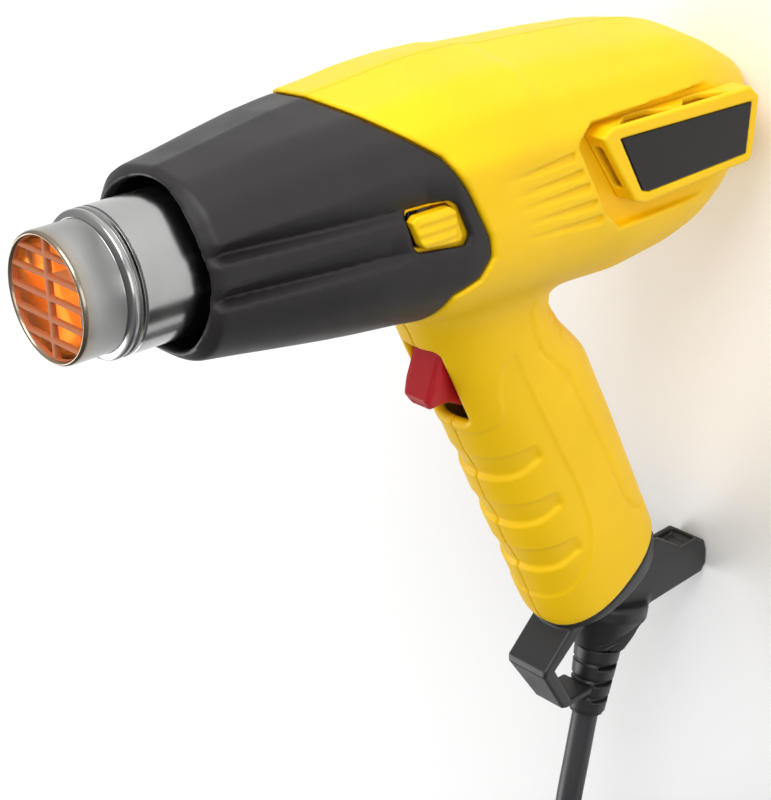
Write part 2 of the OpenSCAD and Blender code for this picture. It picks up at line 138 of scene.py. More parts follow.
# ---- materials ----
# A mix node's colour sockets by place, since its sockets for other kinds of value share their names
MIX_FACTOR, MIX_FIRST, MIX_SECOND, MIX_RESULT = 0, 6, 7, 2


class Nodes:
    """A material's node tree, with short calls to add to it."""

    def __init__(self, name):
        self.material = bpy.data.materials.new(name)
        self.material.use_nodes = True
        self.tree = self.material.node_tree
        self.shader = self.tree.nodes["Principled BSDF"]
        self.where = self.add("ShaderNodeTexCoord").outputs["Object"]

    def add(self, kind, **values):
        node = self.tree.nodes.new(kind)
        for key, value in values.items():
            if key in node.inputs:
                node.inputs[key].default_value = value
            else:
                setattr(node, key, value)
        return node

    def link(self, source, target):
        self.tree.links.new(source, target)

    def set(self, **values):
        for key, value in values.items():
            self.shader.inputs[key.replace("_", " ")].default_value = value

    def noise(self, scale, detail=2.0, stretch=None, rough=0.5):
        node = self.add("ShaderNodeTexNoise", Scale=scale, Detail=detail, Roughness=rough)
        source = self.where
        if stretch:
            mapping = self.add("ShaderNodeMapping")
            mapping.inputs["Scale"].default_value = stretch
            self.link(source, mapping.inputs["Vector"])
            source = mapping.outputs["Vector"]
        self.link(source, node.inputs["Vector"])
        return node.outputs["Fac"]

    def ramp(self, source, stops):
        """Colours or greys against source: stops are (place, value) pairs."""
        node = self.add("ShaderNodeValToRGB")
        elements = node.color_ramp.elements
        while len(elements) < len(stops):
            elements.new(0.5)
        for element, (at, value) in zip(elements, stops):
            element.position = at
            element.color = (*(value if hasattr(value, "__len__") else (value,) * 3), 1)
        self.link(source, node.inputs["Fac"])
        return node.outputs["Color"]

    def bump(self, source, distance, strength=1.0, under=None):
        node = self.add("ShaderNodeBump", Distance=distance, Strength=strength)
        self.link(source, node.inputs["Height"])
        if under:
            self.link(under, node.inputs["Normal"])
        return node.outputs["Normal"]

    def finish(self, colour=None, roughness=None, normal=None):
        for name, source in (("Base Color", colour), ("Roughness", roughness), ("Normal", normal)):
            if source:
                self.link(source, self.shader.inputs[name])
        return self.material


def shade(colour, by):
    return tuple(min(1, channel * by) for channel in colour)


def plain(name, colour, roughness):
    n = Nodes(name)
    n.set(Roughness=roughness)
    tone = n.ramp(n.noise(6), [(0.3, shade(colour, 0.99)), (0.7, colour)])
    return n.finish(tone)


def moulded(name, colour, roughness, grain=900, depth=0.00003, mottle=0.06, gloss=0.5):
    """Moulded plastic: spark-eroded grain, slow colour drift and a roughness that varies a little."""
    n = Nodes(name)
    n.set(Specular_IOR_Level=gloss)
    drift = n.noise(25, 3)
    tone = n.ramp(drift, [(0.3, shade(colour, 1 - mottle)), (0.7, shade(colour, 1 + mottle / 2))])
    rough = n.ramp(n.noise(70, 4), [(0.25, roughness - 0.05), (0.75, roughness + 0.06)])
    normal = n.bump(n.noise(grain, 3), depth, 0.6)
    return n.finish(tone, rough, normal)


def metal(name, colour, roughness, brush=None, tint=None, vary=0.12):
    """Metal: brush is its grain's scale each way, and tint is (low, high, ramp stops) by height."""
    n = Nodes(name)
    n.set(Metallic=1.0)
    streaks = n.noise(1, 4, brush or (60, 60, 60))
    tone = n.ramp(streaks, [(0.3, shade(colour, 1 - vary)), (0.7, shade(colour, 1 + vary / 2))])
    rough = n.ramp(streaks, [(0.25, roughness - vary / 2), (0.75, roughness + vary / 2)])
    if tint:
        height = n.add("ShaderNodeSeparateXYZ")
        n.link(n.where, height.inputs["Vector"])
        span = n.add("ShaderNodeMapRange")
        low, high, stops = tint
        span.inputs["From Min"].default_value = low
        span.inputs["From Max"].default_value = high
        n.link(height.outputs["Z"], span.inputs["Value"])
        heat = n.ramp(span.outputs["Result"], stops)
        mix = n.add("ShaderNodeMix", data_type="RGBA", blend_type="MULTIPLY")
        mix.inputs[MIX_FACTOR].default_value = 1.0
        n.link(tone, mix.inputs[MIX_FIRST])
        n.link(heat, mix.inputs[MIX_SECOND])
        tone = mix.outputs[MIX_RESULT]
    return n.finish(tone, rough, n.bump(streaks, 0.00001, 0.3))


# ---- signed distance shapes, in millimetres ----
def smax(a, b, k=1.0):
    """The larger distance, with the corner between the two rounded over k."""
    h = np.maximum(k - np.abs(a - b), 0) / k
    return np.maximum(a, b) + h * h * k / 4


def smin(a, b, k=1.0):
    return -smax(-a, -b, k)


def step(low, high, v):
    """A smooth rise from 0 at low to 1 at high, or a fall where low is the larger."""
    t = np.clip((v - low) / (high - low), 0, 1)
    return t * t * (3 - 2 * t)


def profile(rows, soft=4.0):
    """A smooth curve through (place, value) rows, with corners rounded over about soft mm."""
    spacing, margin = 0.25, 30
    at, value = np.array(rows, float).T
    fine = np.arange(at[0] - margin, at[-1] + margin, spacing)
    dense = np.interp(fine, at, value)
    lead_in = fine < at[0]
    dense[lead_in] = value[0] + (fine[lead_in] - at[0]) * (value[1] - value[0]) / (at[1] - at[0])
    lead_out = fine > at[-1]
    dense[lead_out] = value[-1] + (fine[lead_out] - at[-1]) * (value[-1] - value[-2]) / (at[-1] - at[-2])
    kernel = np.hanning(int(soft / spacing) * 2 + 1)
    smooth = np.convolve(dense, kernel / kernel.sum(), "same")
    return lambda v: np.interp(v, fine, smooth)


def rounded_box(px, py, pz, half, radius):
    """Signed distance to a box of these half sizes, with its edges rounded by radius."""
    qx, qy, qz = (np.abs(p) - h + radius for p, h in zip((px, py, pz), half))
    outside = np.sqrt(np.maximum(qx, 0) ** 2 + np.maximum(qy, 0) ** 2 + np.maximum(qz, 0) ** 2)
    return outside + np.minimum(np.maximum(np.maximum(qx, qy), qz), 0) - radius


def polygon(px, pz, points, radius=0.0):
    """Signed distance to a closed outline, with corners rounded by radius."""
    points = np.asarray(points, float)
    nearest, sign = 1e9, 1.0
    for (ax, az), (bx, bz) in zip(points, np.roll(points, -1, axis=0)):
        ex, ez = bx - ax, bz - az
        wx, wz = px - ax, pz - az
        t = np.clip((wx * ex + wz * ez) / (ex * ex + ez * ez), 0, 1)
        nearest = np.minimum(nearest, (wx - t * ex) ** 2 + (wz - t * ez) ** 2)
        cross = ex * wz - ez * wx
        flip = ((pz >= az) & (pz < bz) & (cross > 0)) | ((pz < az) & (pz >= bz) & (cross < 0))
        sign = np.where(flip, -sign, sign)
    return sign * np.sqrt(nearest) - radius


def line_distance(px, pz, points):
    """Distance to an open line through points."""
    nearest = 1e9
    for (ax, az), (bx, bz) in zip(points[:-1], points[1:]):
        ex, ez = bx - ax, bz - az
        t = np.clip(((px - ax) * ex + (pz - az) * ez) / (ex * ex + ez * ez), 0, 1)
        nearest = np.minimum(nearest, np.hypot(px - ax - t * ex, pz - az - t * ez))
    return nearest


def groove(distance, half_width, depth):
    """A rounded groove's depth at a distance from its line."""
    return depth * np.exp(-((distance / half_width) ** 2))


# ---- meshing ----
# The least squared slope that a vertex's move is worked out with
FLATTEST = 0.05


def link(name, mesh, body, material, replaced=()):
    piece = bpy.data.objects.new(name, mesh)
    bpy.context.scene.collection.objects.link(piece)
    piece.data.materials.append(material)
    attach(piece, body)
    if replaced:
        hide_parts(*replaced)
    return piece


def mesh_from(name, points, faces):
    mesh = bpy.data.meshes.new(name)
    mesh.from_pydata(place(points).tolist(), [], [list(map(int, f)) for f in faces])
    mesh.update()
    mesh.shade_smooth()
    return mesh


def skin(field, low, high, voxel):
    """Vertices and quads of the surface where field is zero, each vertex moved onto it."""
    low = np.array(low, float)
    count = np.ceil((np.array(high, float) - low) / voxel).astype(int) + 1
    x, y, z = (low[i] + voxel * np.arange(count[i]) for i in range(3))
    values = field(x[:, None, None], y[None, :, None], z[None, None, :])
    values = np.broadcast_to(values, count).astype(np.float32).copy()
    # The faces of the box count as outside, so that every surface closes
    for axis in range(3):
        edge = [slice(None)] * 3
        for end in (0, -1):
            edge[axis] = end
            values[tuple(edge)] = np.maximum(values[tuple(edge)], voxel / 2)
    band = 3 * voxel
    grid = openvdb.FloatGrid(band)
    grid.copyFromArray(np.clip(values, -band, band))
    points, quads = grid.convertToQuads(0.0)
    points = low + voxel * points.astype(float)
    for _ in range(2):
        value, slope = value_and_slope(field, points, voxel / 4)
        move = slope * (value / np.maximum((slope**2).sum(1), FLATTEST))[:, None]
        points -= np.clip(move, -voxel / 2, voxel / 2)
    first, second, third = (points[quads[:, i]] for i in range(3))
    volume = np.einsum("ij,ij->i", first, np.cross(second, third))
    if volume.sum() < 0:
        quads = quads[:, ::-1]
    return points, quads


def value_and_slope(field, points, gap):
    """The field and its slope at points, by differences over gap."""
    x, y, z = points.T
    sides = [(gap, 0, 0), (0, gap, 0), (0, 0, gap)]
    slope = [(field(x + a, y + b, z + c) - field(x - a, y - b, z - c)) / (2 * gap) for a, b, c in sides]
    return np.asarray(field(x, y, z), float), np.stack([np.broadcast_to(s, x.shape) for s in slope], 1)


def sculpt(name, field, low, high, voxel, body, material, replaced, side=1):
    """A piece whose surface is where field is zero. side -1 mirrors it to the gun's right."""
    points, quads = skin(field, low, high, voxel)
    if side < 0:
        points = points * (1, -1, 1)
        quads = quads[:, ::-1]
    return link(name, mesh_from(name, points, quads), body, material, replaced)


def lathe(name, outline, centre, axis, body, material, replaced=(), steps=128):
    """A turned piece: outline is a closed list of (radius, height) along axis from centre, in mm."""
    across = np.cross(axis, (0, 1, 0) if abs(axis[1]) < 0.9 else (1, 0, 0))
    across = across / np.linalg.norm(across)
    third = np.cross(axis, across)
    turn = 2 * math.pi * np.arange(steps) / steps
    ring = np.cos(turn)[:, None] * across + np.sin(turn)[:, None] * third
    points = np.concatenate([np.array(centre) + np.array(axis) * h + ring * r for r, h in outline])
    rows = len(outline)
    faces = [(i * steps + j, i * steps + (j + 1) % steps, (i + 1) % rows * steps + (j + 1) % steps,
        (i + 1) % rows * steps + j) for i in range(rows) for j in range(steps)]
    mesh = mesh_from(name, points, faces)
    area = sum(a[0] * b[1] - a[1] * b[0] for a, b in zip(outline, outline[1:] + outline[:1]))
    if area * np.dot(np.cross(across, third), axis) < 0:
        mesh.flip_normals()
    return link(name, mesh, body, material, replaced)


def bevelled(corners, radius, steps=4):
    """A closed outline with each corner cut to a small arc."""
    out = []
    for i, corner in enumerate(corners):
        here = np.array(corner, float)
        before, after = np.array(corners[i - 1], float), np.array(corners[(i + 1) % len(corners)], float)
        r = min(radius, np.linalg.norm(before - here) / 2.2, np.linalg.norm(after - here) / 2.2)
        start = here + (before - here) / np.linalg.norm(before - here) * r
        end = here + (after - here) / np.linalg.norm(after - here) * r
        for t in np.linspace(0, 1, steps):
            out.append(tuple((1 - t) ** 2 * start + 2 * t * (1 - t) * here + t * t * end))
    return out


# ---- the gun's shell ----
# The handle's end leans by this much along it for each mm towards its back
CAP_SLOPE = 0.178
TOP = profile([(0, 14), (2.5, 15.5), (10, 19), (21, 25.4), (31, 29.6), (39, 31.7), (47, 32.8), (68, 34.4),
    (92, 35.6), (105.5, 36.3), (109, 37.5), (124, 37.7), (138, 36.9), (153, 35.3), (167, 34.2),
    (178, 33.0), (192, 30.7), (205, 28.4), (214, 27.0), (222, 25.4)], 2.0)
LOW = profile([(0, 14), (2.5, 17.5), (10, 24.5), (21, 31), (31, 35), (39, 36.5), (47, 38), (68, 40),
    (91, 38.6), (107, 37), (124, 36.5), (138, 35.6), (153, 33.6), (167, 32.2), (178, 30.9), (192, 29),
    (205, 27.2), (214, 26), (222, 24.6)])
SIDE = profile([(0, 14), (2.5, 17), (10, 22.5), (21, 27.5), (31, 31), (39, 33), (47, 34.2), (68, 35.4),
    (92, 36.2), (109, 37), (124, 37.4), (138, 36.8), (153, 35.2), (167, 34), (178, 32.7), (192, 30.5),
    (205, 28.3), (214, 27), (222, 25.4)])
# Each facet: angle from the top line towards the side, and its distance against the nearest reach
FACETS = [(9, 0.985), (32, 1.055), (60, 1.075)]
BARREL_POWER = 2.6
# The handle's axis leaves the barrel's at HANDLE_Z and drops by RAKE. FRONT, BACK and HALF are its
# reaches forwards, backwards and sideways by distance along it.
HANDLE_Z = 123.1
RAKE = math.radians(25)
FRONT = profile([(18, 25), (42, 25.5), (58, 25.5), (82, 25.6), (110, 26), (160, 26), (166, 25.7),
    (171, 24.2)])
BACK = profile([(18, 17), (42, 18), (58, 18.6), (68, 20.5), (75, 23.2), (82, 25.6), (110, 26), (160, 25.6),
    (166, 25.2), (171, 23.7)], 3.0)
HALF = profile([(18, 18.5), (42, 19), (68, 19.3), (110, 19.5), (160, 19.2), (166, 18.9), (171, 17.8)])
BORDER = [(-60, 166), (-33.7, 166), (-19, 146), (-9, 139.5), (6, 132), (11.7, 131), (17.5, 134), (21, 142),
    (32, 145), (60, 146), (60, 270), (-60, 270)]


def barrel(x, y, z, inset=0.0, edge=1.4):
    """The barrel: a superellipse on the handle's side and flat facets over the top."""
    y = np.abs(y)
    top, low, half = TOP(z) - inset, LOW(z) - inset, SIDE(z) - inset
    under = (np.maximum(x, 0) / low) ** BARREL_POWER + (y / half) ** BARREL_POWER
    radius = np.sqrt(np.maximum(x, 0) ** 2 + y * y) + 1e-6
    d = radius * (1 - under ** (-1 / BARREL_POWER))
    for angle, reach in FACETS:
        a = math.radians(angle)
        near = top * (1 - math.sin(a)) + half * math.sin(a)
        d = smax(d, -x * math.cos(a) + y * math.sin(a) - reach * near, edge)
    return d


def in_handle(x, z):
    """Reach to the back and distance along the handle."""
    dz = z - HANDLE_Z
    return -x * math.sin(RAKE) - dz * math.cos(RAKE), x * math.cos(RAKE) - dz * math.sin(RAKE)


def handle(x, y, z, inset=0.0, power=2.35):
    back, along = in_handle(x, z)
    reach = np.where(back < 0, FRONT(along), BACK(along)) - inset
    half = HALF(along) - inset
    g = ((np.abs(back) / reach) ** power + (np.abs(y) / half) ** power) ** (1 / power)
    radius = np.sqrt(back * back + y * y) + 1e-6
    d = radius * (1 - 1 / np.maximum(g, 1e-3))
    return smax(d, 18 - along, 2.0)


# Finger scoops: where each starts and where its lip is, along the handle
SCOOPS = [(88.3 + 21.1 * i, 97.0 + 21.3 * i) for i in range(3)]
PALM_PANEL = [(-34, 77.3), (-24, 77.3), (-19, 75.5), (-16.7, 72.8), (-15.5, 65.2), (-12, 57.4), (-6.8, 54.5),
    (-6.2, 83), (-4.6, 116), (-5.2, 128), (-6.5, 134), (-10.7, 143.7), (-19.4, 151.6), (-24.8, 153.3),
    (-34, 153.6)]
# The groove along the handle's sides, behind the palm panel
STRAP_LINE = [(6.4, 45.1), (3.6, 47), (2.8, 51.8), (2, 61), (2.8, 64.4), (6.5, 73.7), (8.2, 78.8),
    (8.6, 88.5), (10.1, 107.8), (10.9, 129.5), (11.3, 137.2), (12.7, 142.6), (16.2, 147.2), (21, 148.6),
    (30, 148.8)]
RECESS_FLOOR = 30.0
SIDE_RECESS = [(-15, -12), (-15, 91), (-12, 95.5), (9, 84), (15, 77), (15, -12)]
# Side slits, each from its fine end to its wide end
SLITS = [((-8.7, 129.9), (-9.6, 100)), ((-3.9, 127.3), (-3.8, 96.3)), ((0.1, 125.1), (0.9, 93.4)),
    ((4.7, 122.8), (6.5, 90)), ((9.2, 120.9), (12, 87))]
# Screw wells in the right half
SCREWS = [(24, 30), (-21, 30), (60, 82), (105, 85), (143, 70)]
WELL_RADIUS, WELL_FLOOR = 3.2, 15


def handle_detail(x, y, z):
    """How far the handle's surface is drawn in by its scoops, panel, grooves and ribs."""
    back, along = in_handle(x, z)
    depth = 0.45 * step(0.5, -0.5, polygon(back, along, PALM_PANEL))
    for start, lip in SCOOPS:
        top = start + 0.1 * (back + 25)
        low = lip - 2.2 * step(-20, -11, back)
        share = np.clip((along - top) / (low - top), 0, 1)
        inside = step(-0.5, 0.5, along - top) * step(1.7, 0.0, along - low)
        depth = depth + (0.35 + 0.95 * share) * inside * step(-10.6, -12.6, back)
    depth = depth + groove(line_distance(back, along, STRAP_LINE), 0.65, 0.7)
    ribs = 0.5 + 0.5 * np.sin((along - 50) * 2 * math.pi / 4.6)
    depth = depth + 0.6 * ribs * step(9.5, 12, back) * step(47, 50, along) * step(68, 65, along)
    return depth


def side_slits(x, y, z):
    """Depth of the slits, which widen and deepen along their length."""
    depth = 0.0
    for (sx, sz), (ex, ez) in SLITS:
        length = math.hypot(ex - sx, ez - sz)
        ux, uz = (ex - sx) / length, (ez - sz) / length
        t = ((x - sx) * ux + (z - sz) * uz) / length
        off = (x - sx) * uz - (z - sz) * ux
        half = 0.2 + 1.0 * np.clip(t, 0, 1)
        inside = step(0.35, -0.35, np.abs(off) - half) * step(0, 0.05, t) * step(1.02, 0.99, t)
        depth = depth + (0.1 + 1.1 * t) * inside
    return depth * (np.abs(y) > 20)


def side_recess(x, ay, z):
    return smax(RECESS_FLOOR - ay, polygon(x, z, SIDE_RECESS, 2.0), 1.5)


def shell_outer(x, y, z):
    ay = np.abs(y)
    zone = polygon(x, z, BORDER)
    body = barrel(x, y, z) + side_slits(x, y, z)
    body = smax(body, -z, 2.0)
    crease = groove(ay - 26.4 + 0.03 * (z - 20), 0.6, 0.6)
    body = body + crease * step(20, 24, x) * step(80, 76, z) * step(14, 20, z)
    body = smax(body, -side_recess(x, ay, z), 1.2)
    body = smax(body, 0.35 - zone, 1.4)
    neck = smax(barrel(x, y, z, NECK_INSET), z - 167.8, 1.0)
    neck = smax(neck, zone - 3, 0.5)
    button_pocket = smax(polygon(x, z, BUTTON_OUTLINE) - 1.0, 27.6 - ay, 0.3)
    neck = smax(neck, -button_pocket, 0.3)
    grip = smax(handle(x, y, z) + handle_detail(x, y, z), 0.35 - zone, 1.4)
    back, along = in_handle(x, z)
    grip = smax(grip, along - (165.4 - CAP_SLOPE * back), 1.6)
    return np.minimum(smin(body, grip, 9.0), neck)


def shell_inner(x, y, z):
    zone = polygon(x, z, BORDER)
    body = smax(barrel(x, y, z) + WALL, WALL - z, 1.0)
    body = smax(body, WALL + 1 - zone, 1.0)
    body = smax(body, 2.0 - side_recess(x, np.abs(y), z), 1.0)
    neck = smax(barrel(x, y, z, NECK_INSET) + WALL, zone - 12, 1.0)
    grip = smax(handle(x, y, z) + WALL + 1.2, 6 - zone, 1.0)
    return np.minimum(np.minimum(body, neck), grip)


def trigger_window(x, y, z):
    back, along = in_handle(x, z)
    return rounded_box(back + 26, y, along - 58.6, (14, 7.2, 14.8), 2.4)


def shell(x, y, z):
    d = smax(shell_outer(x, y, z), -shell_inner(x, y, z), 0.5)
    d = smax(d, -trigger_window(x, y, z), 2.2)
    intake = smax(np.hypot(x, y) - 12.6, z - WALL - 1, 0.5)
    d = smax(d, -intake, 0.6)
    for height in range(30, 67, 9):
        slot = rounded_box(x + 1, np.abs(y) - 33, z - height, (7.5, 6, 2), 1.0)
        d = smax(d, -slot, 0.5)
    return d


def half_shell(side):
    """The left half's field, or with side -1 the right half's, mirrored to the left."""
    def field(x, y, z):
        d = smax(shell(x, y, z), 0.1 - y, 0.35)
        if side < 0:
            for sx, sz in SCREWS:
                well = smax(np.hypot(x - sx, z - sz) - WELL_RADIUS, WELL_FLOOR - y, 0.4)
                d = smax(d, -well, 0.5)
        return d
    return field


# ---- guard and release buttons ----
# Each flute: x of its ridge, deepest line and lower lip, the z where it ends, and its depth
FLUTES = [(-16.5, -7.6, -5.6, 142, 4.2), (-2.6, 4.0, 6.3, 154, 3.8)]
GUARD_INSET = 0.8
GUARD_WALL = 2.2
GUARD_TOP = 220.0
BUTTON_MIDDLE = 150
BUTTON_OUTLINE = [(-4.6, 158.4), (-5.8, 157), (-5.8, 145.6), (-4.6, 144), (3, 141), (4.2, 141.6),
    (3, 154.4), (2, 155.4)]
WINDOW_OUTLINE = [(-5.4, 159.4), (-6.7, 157.8), (-6.7, 145.2), (-5.2, 143.2), (3.2, 139.8), (5.2, 140.6),
    (3.8, 155.2), (2.4, 156.4)]


def flutes(x, y, z):
    """Depth of the two flutes on each side, which widen and then end towards the handle."""
    depth = 0.0
    for ridge, deep, lip, end, most in FLUTES:
        nose = np.clip((z - 165) / 50, 0, 1)
        high = ridge + (deep - ridge - 3.5) * nose
        wedge = np.minimum((x - high) / (deep - high), (lip - x) / (lip - deep))
        closing = np.clip((z - end + 0.35 * (x - deep)) / 9, 0, 1)
        share = closing * (0.6 + 0.4 * nose) * step(219, 211, z)
        depth = depth + most * np.clip(wedge, 0, 1) * share
    return depth * step(15, 22, np.abs(y))


def guard(x, y, z):
    zone = polygon(x, z, BORDER)
    drawn_in = flutes(x, y, z)
    outer = barrel(x, y, z, GUARD_INSET) + drawn_in
    outer = smax(outer, zone + 0.1, 0.8)
    opening = 24.0 + 0.25 * (z - 219)
    rim = smax(smax(outer, 0.75 * (outer + z - 215.0), 0.8), z - GUARD_TOP, 0.8)
    inner = smax(barrel(x, y, z, GUARD_INSET) + GUARD_WALL + drawn_in * 0.8, z - 215, 3.0)
    mouth = np.hypot(x, y) + 0.75 * drawn_in - opening
    d = smax(rim, -np.minimum(inner, mouth), 1.2)
    window = smax(polygon(x, z, WINDOW_OUTLINE, 0.8), 24 - np.abs(y), 0.5)
    return smax(d, -window, 0.8)


def release_button(x, y, z):
    """Yellow button with three shallow ridges across it."""
    off_middle = np.abs(z - BUTTON_MIDDLE)
    crown = 35.0 - 0.0072 * off_middle**2
    ridges = 0.4 * (0.5 + 0.5 * np.cos((x + 1.2) * 2 * math.pi / 3.0)) * step(7.5, 6, off_middle)
    d = smax(polygon(x, z, BUTTON_OUTLINE, 0.3), y - crown - ridges, 0.6)
    return smax(d, 31.6 - y, 0.5)


# ---- side frames and badges ----
FRAME_FACE, FRAME_BACK, BADGE_BED = 38, 30.2, 37.0
FRAME_OUTLINE = [(-15, 86), (-14.6, 26), (-11, 22), (7, 24), (8.6, 25.5), (10.5, 72), (9, 76), (-12.7, 90)]
BADGE_OUTLINE = [(-11.3, 83), (-10, 25.4), (5.8, 27.2), (7.2, 70.5), (6.2, 73.5)]
# Gaps between the struts along the frame's edge that is away from the handle, in y and z
TRUSS_GAPS = [[(31.2, 66), (31.2, 74), (36.2, 82), (36.2, 59)],
    [(31.2, 42), (31.2, 49), (36.2, 55), (36.2, 34)]]


def side_frame(x, y, z):
    outline = polygon(x, z, FRAME_OUTLINE)
    d = smax(outline, y - FRAME_FACE, 1.0)
    d = smax(d, FRAME_BACK - y, 0.5)
    hollow = smax(outline + 2.0, y - 35.4, 0.5)
    d = smax(d, -hollow, 0.6)
    badge_seat = smax(polygon(x, z, BADGE_OUTLINE), BADGE_BED - y, 0.2)
    d = smax(d, -badge_seat, 0.4)
    for gap in TRUSS_GAPS:
        cut = smax(polygon(y, z, gap), np.abs(x + 14.6) - 3.2, 0.3)
        d = smax(d, -cut, 0.5)
    slot = rounded_box(x - 10, y - 34, z - 49, (5, 1.4, 11), 0.8)
    front = rounded_box(x + 2, y - 33.2, z - 84, (7, 1.9, 12), 0.8)
    return smax(d, -np.minimum(slot, front), 0.5)


def badge(x, y, z):
    return smax(smax(polygon(x, z, BADGE_OUTLINE) + 0.15, y - 38.1, 0.35), 36.9 - y, 0.2)


# ---- trigger ----
ROCKER = [(-18, 46.8), (-21.4, 46.4), (-32.6, 57.2), (-32, 60.6), (-24.8, 64.4), (-20, 70.6), (-16, 66),
    (-16, 54)]
ROCKER_HALF = 6.5


def rocker(x, y, z):
    back, along = in_handle(x, z)
    half = ROCKER_HALF - 0.22 * np.clip(along - 54, 0, 9)
    face = groove(line_distance(np.abs(y), along, [(5, 44), (5, 57), (4, 58.6), (0, 59.4)]), 0.35, 0.25)
    return smax(polygon(back, along, ROCKER, 0.4) + face * step(-20, -24, back), np.abs(y) - half, 2.0)


# ---- end cap and strain relief ----
STRUT = [(146, 34), (149, 25), (157, 13), (156.6, 4.5), (158.8, 1.2), (162.5, 0.2), (168, 0.2), (170.8, 2.5),
    (173.1, 33), (176, 46), (160, 50)]
HOOK = [(163, 68), (176.6, 82.4), (179.2, 82.6), (196.4, 71.8), (197.2, 69.4), (196.6, 57.6), (194.4, 57.6),
    (194.6, 67.6), (178.2, 77.6), (169.5, 67), (164, 60)]
RELIEF_AT = (175, 45.6)
RING_PITCH = 6.2
RELIEF_RISE = math.radians(13.6)


def on_relief(x, z):
    """Distance along the strain relief and height across it."""
    dx, dz = x - RELIEF_AT[0], z - RELIEF_AT[1]
    c, s = math.cos(RELIEF_RISE), math.sin(RELIEF_RISE)
    return dx * c + dz * s, -dx * s + dz * c


def end_cap(x, y, z):
    ay = np.abs(y)
    back, along = in_handle(x, z)
    end = 165.9 - CAP_SLOPE * back
    collar = smax(handle(x, y, z, 0.35), end - along, 0.8)
    collar = smax(collar, along - 173.5, 3.0)
    out, over = on_relief(x, z)
    radius = np.sqrt(over * over + y * y)
    snout = smax(smax(radius - (12.8 - 0.42 * np.clip(out, -4, 9)), out - 9, 1.0), -9 - out, 2.0)
    d = smin(collar, snout, 7.0)
    brace = smax(polygon(x, z, STRUT), ay - 7.2, 1.4)
    trough = smax(smax(-polygon(x - 2.6, z, STRUT), ay - 5.2, 0.8), z - 31, 2.0)
    trough = smax(trough, 4.5 - z, 2.0)
    trough = smax(trough, x - 160.5, 0.8)
    d = smin(d, smax(brace, -trough, 0.9), 3.0)
    width = 8.8 - 0.12 * np.maximum(x - 178, 0)
    d = smin(d, smax(polygon(x, z, HOOK), ay - width, 1.0), 1.5)
    # A shallow ribbed pocket on each side, in axes turned by 60 degrees
    px, pz = x - 178.5, z - 46.5
    lengthwise, across = px * 0.5 + pz * 0.87, px * 0.87 - pz * 0.5
    pocket = smax(np.abs(lengthwise) - 9, np.abs(across) - 3.4, 1.0)
    ribs = 0.45 * np.cos(across * 2 * math.pi / 2.3)
    d = d + (0.7 - ribs) * step(0.4, -0.4, pocket) * step(5, 7, ay)
    cord_hole = np.maximum(radius - 5.3, 0 - out)
    return smax(d, -cord_hole, 0.5)


def strain_relief(x, y, z):
    out, over = on_relief(x, z)
    radius = np.sqrt(over * over + y * y)
    sleeve = 8.1 - 0.072 * np.maximum(out - 9, 0)
    rings = 0.45 * step(0.35, 0.0, np.abs(((out - 8.2) % RING_PITCH) - RING_PITCH / 2) - 2.4)
    d = smax(radius - sleeve + 0.45 - rings, out - 33.8, 1.2)
    d = smax(d, 9.2 - out, 0.4)
    for i in range(3):
        half = (0.95, 3.0, 4.6 - 0.2 * i)
        slot = rounded_box(out - 15.2 - RING_PITCH * i, np.abs(y) - 7.2, over, half, 0.4)
        d = smax(d, -slot, 0.4)
    return d


# ---- pieces ----
def build_shells():
    yellow = moulded("yellow_moulding", (0.97, 0.6, 0.0), 0.48, gloss=0.3)
    charcoal = moulded("charcoal_nylon", (0.017, 0.0145, 0.015), 0.46, grain=1500, depth=0.00006, mottle=0.12,
        gloss=0.4)
    black = moulded("black_nylon", (0.018, 0.018, 0.019), 0.42, mottle=0.12)
    red = moulded("red_moulding", (0.5, 0.006, 0.014), 0.42, gloss=0.3)
    gloss = moulded("badge_gloss", (0.004, 0.004, 0.005), 0.16, grain=300, depth=0.000004, gloss=0.35)
    for side, hand in ((1, "left"), (-1, "right")):
        sculpt(f"shell_{hand}", half_shell(side), (-40, -1, -1.5), (168, 40.5, 170), 0.8, "root",
            yellow, [f"housing_{hand}"], side)
        sculpt(f"frame_{hand}", side_frame, (-17, 29, 20), (13, 39.5, 92), 0.45, "root",
            yellow, [f"side_frame_{hand}"], side)
        sculpt(f"inlay_{hand}", badge, (-13, 36, 23), (9, 39, 86), 0.4, "root",
            gloss, [f"badge_{hand}"], side)
        sculpt(f"release_{hand}", release_button, (-9, 30, 137), (8, 38, 164), 0.4, f"button_{hand}",
            yellow, [f"release_button_{hand}"], side)
    points, quads = skin(guard, (-40, -40, 128), (40, 40, 222.5), 0.8)
    link("front_guard", mesh_from("front_guard", points, quads), "root", charcoal, ["guard"])
    sculpt("rocker", rocker, (20, -7, 75), (85, 7, 140), 0.45, "trigger", red,
        ["trigger_rocker"])
    sculpt("cap_and_stand", end_cap, (142, -20, -1), (199.5, 20, 85), 0.55, "root", black,
        ["end_cap"])
    sculpt("relief_sleeve", strain_relief, (180, -10, 35), (211, 10, 66), 0.4, "root", black,
        ["strain_relief"])


